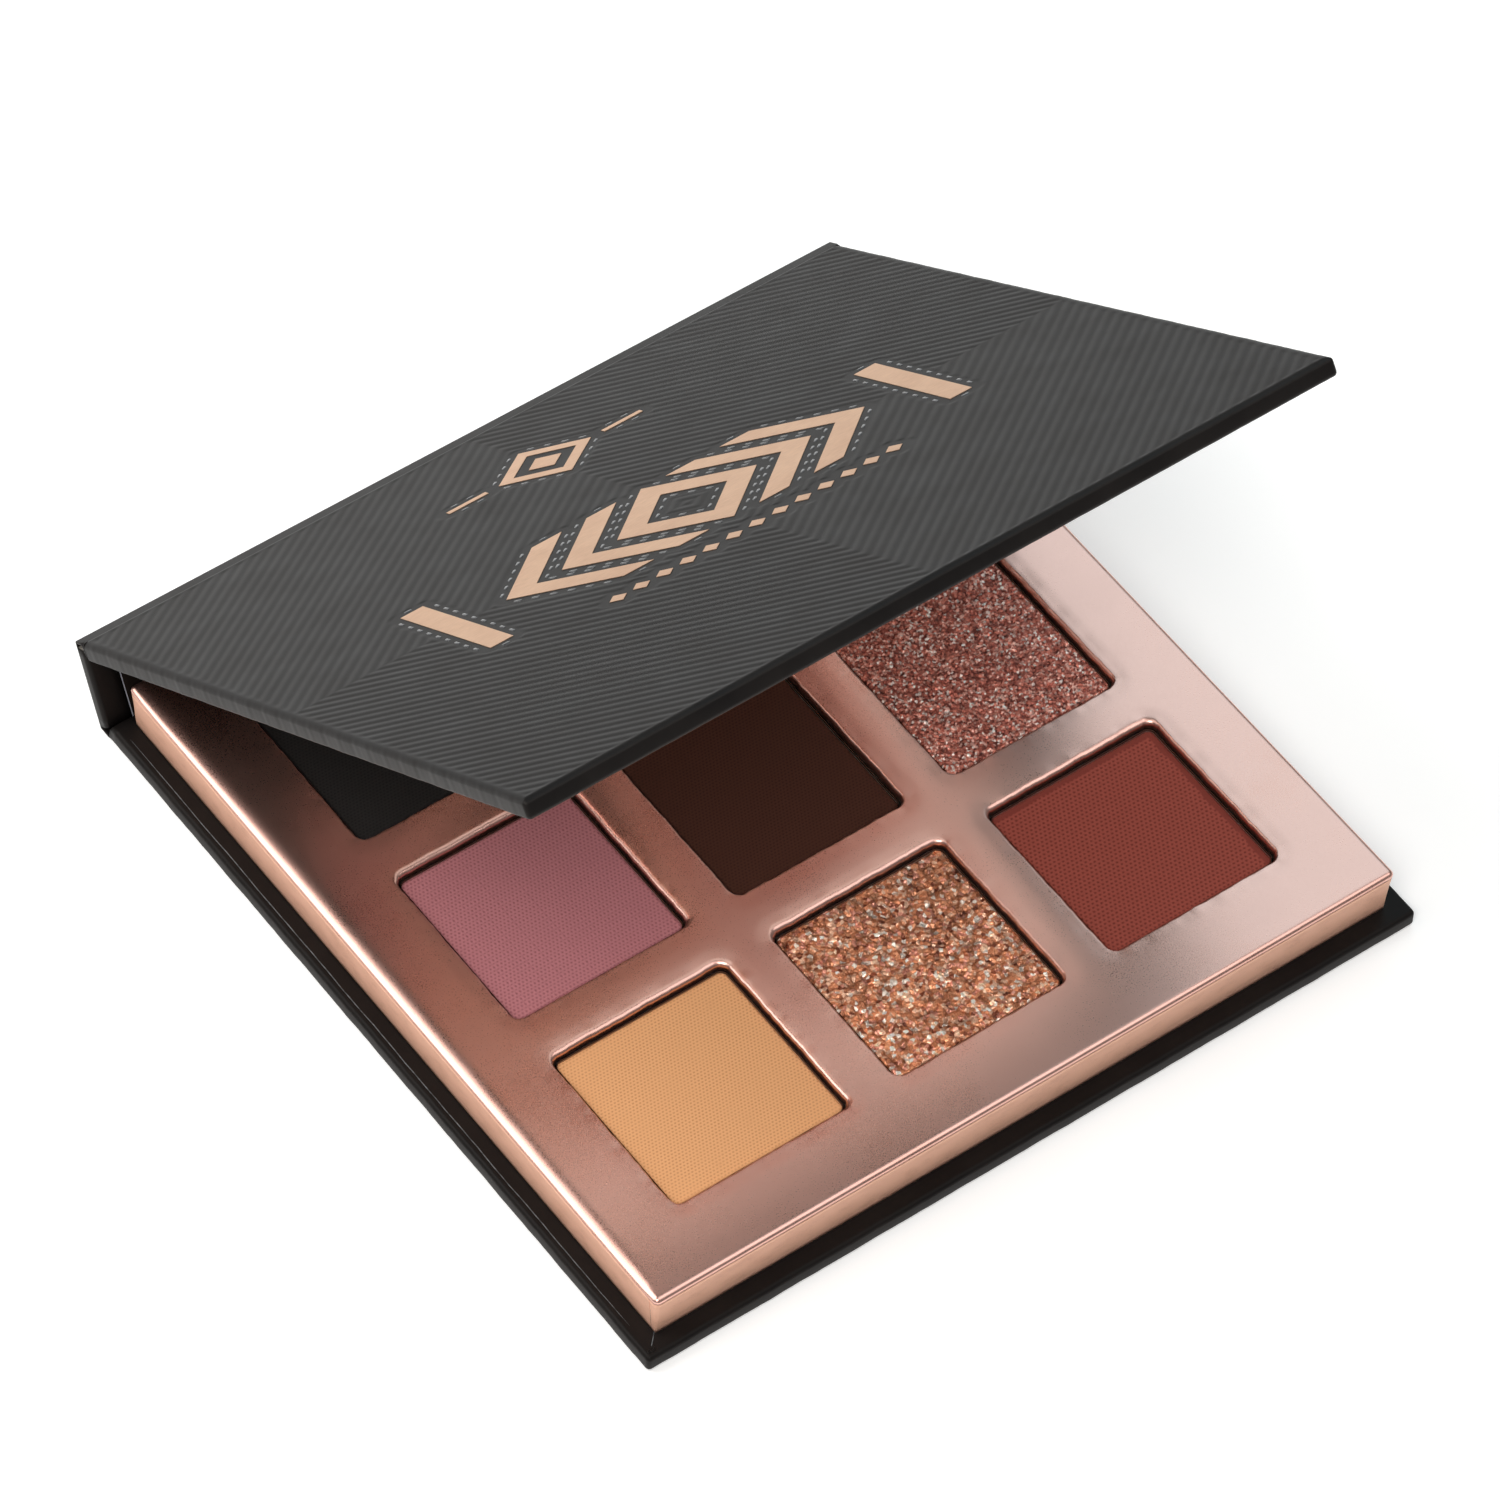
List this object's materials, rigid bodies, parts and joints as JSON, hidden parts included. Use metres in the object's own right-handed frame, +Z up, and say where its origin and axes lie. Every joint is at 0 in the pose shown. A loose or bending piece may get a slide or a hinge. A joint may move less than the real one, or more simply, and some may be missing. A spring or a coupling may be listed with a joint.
{
  "type": "eyeshadow palette",
  "caption": "Book-style board palette: a paper-wrapped lid and spine hinge on two creases over a foil-covered tray of square pressed powders.",
  "frame": {"origin": "middle of the underside of the base", "axes": "X along the spine, opening edge towards -Y, spine towards +Y, +Z up out of the tray"},
  "size_m": [0.1032, 0.1082, 0.0715],
  "materials": {
    "black_cover_paper": "soft-touch matte black, lid embossed with concentric lozenges",
    "black_lining_paper": "matte black",
    "grey_board": "raw grey board",
    "ornament_foil": "rose gold hot foil",
    "tray_foil": "satin rose gold foil-faced paper",
    "magnet_steel": "nickel plated",
    "mirror_glass": "silvered",
    "tape": "double-sided tape",
    "pan_aluminium": "bare pressed aluminium",
    "powder_front_left": "pressed powder, tan yellow",
    "powder_front_centre": "pressed powder, gold glitter",
    "powder_front_right": "pressed powder, brick red",
    "powder_middle_left": "pressed powder, mauve",
    "powder_middle_centre": "pressed powder, dark brown",
    "powder_middle_right": "pressed powder, rose brown glitter",
    "powder_back_left": "pressed powder, black",
    "powder_back_centre": "pressed powder, champagne glitter",
    "powder_back_right": "pressed powder, soft beige brown"
  },
  "bodies": {
    "base": {"base_board": "grey_board", "base_cover_paper": "black_cover_paper", "base_lining": "black_lining_paper", "pan_back_centre": "pan_aluminium", "pan_back_left": "pan_aluminium", "pan_back_right": "pan_aluminium", "pan_front_centre": "pan_aluminium", "pan_front_left": "pan_aluminium", "pan_front_right": "pan_aluminium", "pan_glue_pads": "tape", "pan_middle_centre": "pan_aluminium", "pan_middle_left": "pan_aluminium", "pan_middle_right": "pan_aluminium", "powder_back_centre": "powder_back_centre", "powder_back_left": "powder_back_left", "powder_back_right": "powder_back_right", "powder_front_centre": "powder_front_centre", "powder_front_left": "powder_front_left", "powder_front_right": "powder_front_right", "powder_middle_centre": "powder_middle_centre", "powder_middle_left": "powder_middle_left", "powder_middle_right": "powder_middle_right", "tray_floor_board": "grey_board", "tray_foil_side_wrap": "tray_foil", "tray_foil_top_sheet": "tray_foil", "tray_lower_window_board": "grey_board", "tray_magnet_left": "magnet_steel", "tray_magnet_right": "magnet_steel", "tray_upper_window_board": "grey_board"},
    "spine": {"spine_board": "grey_board", "spine_cover_paper": "black_cover_paper", "spine_lining": "black_lining_paper"},
    "lid": {"lid_cover_paper": "black_cover_paper", "lid_foil_ornament": "ornament_foil", "lid_lining": "black_lining_paper", "lid_magnet_left": "magnet_steel", "lid_magnet_right": "magnet_steel", "lid_mirror": "mirror_glass", "lid_mirror_frame_board": "grey_board", "lid_mirror_tape": "tape", "lid_outer_board": "grey_board"}
  },
  "joints": [
    {"name": "spine_hinge", "type": "hinge", "parent": "base", "child": "spine", "pos_m": [0, 0.0517, 0.00008], "axis": [-1, 0, 0], "range_deg": [-25, 65]},
    {"name": "lid_hinge", "type": "hinge", "parent": "spine", "child": "lid", "pos_m": [0, 0.05651, 0.01039], "axis": [-1, 0, 0], "range_deg": [-11.3, 78.7]}
  ]
}
